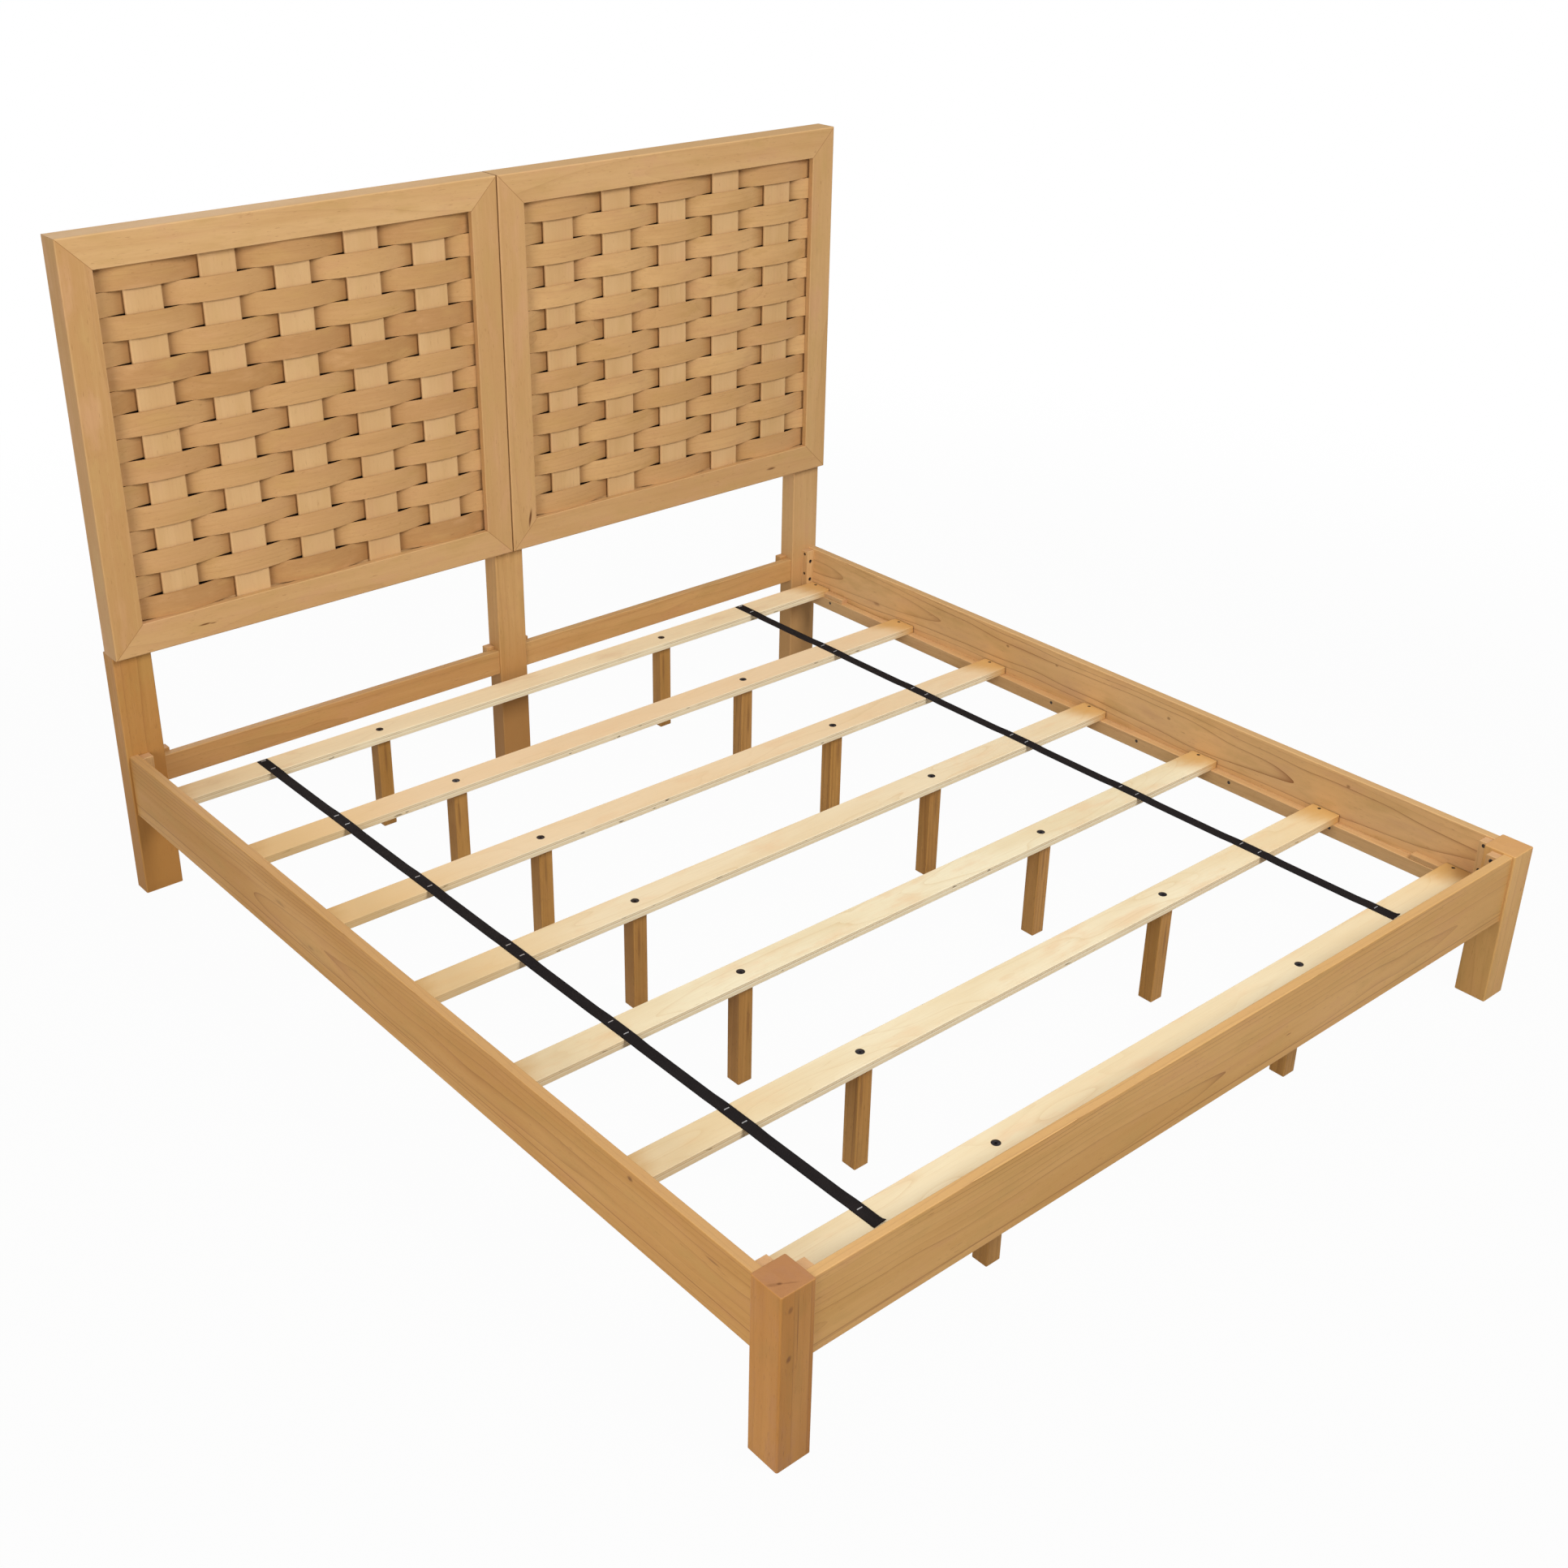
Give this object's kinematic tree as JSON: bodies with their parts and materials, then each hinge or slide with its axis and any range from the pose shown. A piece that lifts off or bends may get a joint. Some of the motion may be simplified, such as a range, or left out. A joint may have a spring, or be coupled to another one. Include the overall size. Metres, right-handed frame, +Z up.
{
  "type": "bed frame",
  "caption": "King-size wooden bed frame with a woven-strip headboard on posts, low rails, square front legs and webbing-tied plywood slats on support legs.",
  "frame": {"origin": "on the floor, below the middle of the frame's overall box", "axes": "+X to the right seen from the foot of the bed, +Y towards the headboard, +Z up"},
  "size_m": [2, 2.178, 1.45],
  "materials": {
    "frame_wood": "clear-lacquered honey-coloured solid wood",
    "woven_wood": "clear-lacquered honey-coloured thin wood strips",
    "slat_plywood": "pale unstained laminated wood with visible layers at the edges",
    "strap_webbing": "black woven webbing",
    "black_bolts": "black oxide",
    "steel_fasteners": "bright zinc-plated staple wire and darkened wood screws"
  },
  "bodies": {
    "root": {"left_top_rail": "frame_wood", "left_bottom_rail": "frame_wood", "left_outer_stile": "frame_wood", "left_inner_stile": "frame_wood", "left_post": "frame_wood", "left_stretcher": "frame_wood", "left_side_rail": "frame_wood", "left_cleat": "frame_wood", "left_leg": "frame_wood", "left_head_block": "frame_wood", "left_foot_block": "frame_wood", "left_foot_rail_block": "frame_wood", "left_support_1": "frame_wood", "left_support_2": "frame_wood", "left_support_3": "frame_wood", "left_support_4": "frame_wood", "left_support_5": "frame_wood", "left_support_6": "frame_wood", "left_support_7": "frame_wood", "right_top_rail": "frame_wood", "right_bottom_rail": "frame_wood", "right_outer_stile": "frame_wood", "right_inner_stile": "frame_wood", "right_post": "frame_wood", "right_stretcher": "frame_wood", "right_side_rail": "frame_wood", "right_cleat": "frame_wood", "right_leg": "frame_wood", "right_head_block": "frame_wood", "right_foot_block": "frame_wood", "right_foot_rail_block": "frame_wood", "right_support_1": "frame_wood", "right_support_2": "frame_wood", "right_support_3": "frame_wood", "right_support_4": "frame_wood", "right_support_5": "frame_wood", "right_support_6": "frame_wood", "right_support_7": "frame_wood", "centre_post": "frame_wood", "foot_rail": "frame_wood", "stretcher_blocks": "frame_wood", "stop_blocks": "frame_wood", "left_weave_uprights": "woven_wood", "left_weave_rows": "woven_wood", "right_weave_uprights": "woven_wood", "right_weave_rows": "woven_wood", "back_panels": "woven_wood", "slat_1": "slat_plywood", "slat_2": "slat_plywood", "slat_3": "slat_plywood", "slat_4": "slat_plywood", "slat_5": "slat_plywood", "slat_6": "slat_plywood", "slat_7": "slat_plywood", "left_strap": "strap_webbing", "right_strap": "strap_webbing", "slat_bolts": "black_bolts", "block_bolts": "black_bolts", "wood_screws": "steel_fasteners", "staples": "steel_fasteners"}
  },
  "joints": []
}
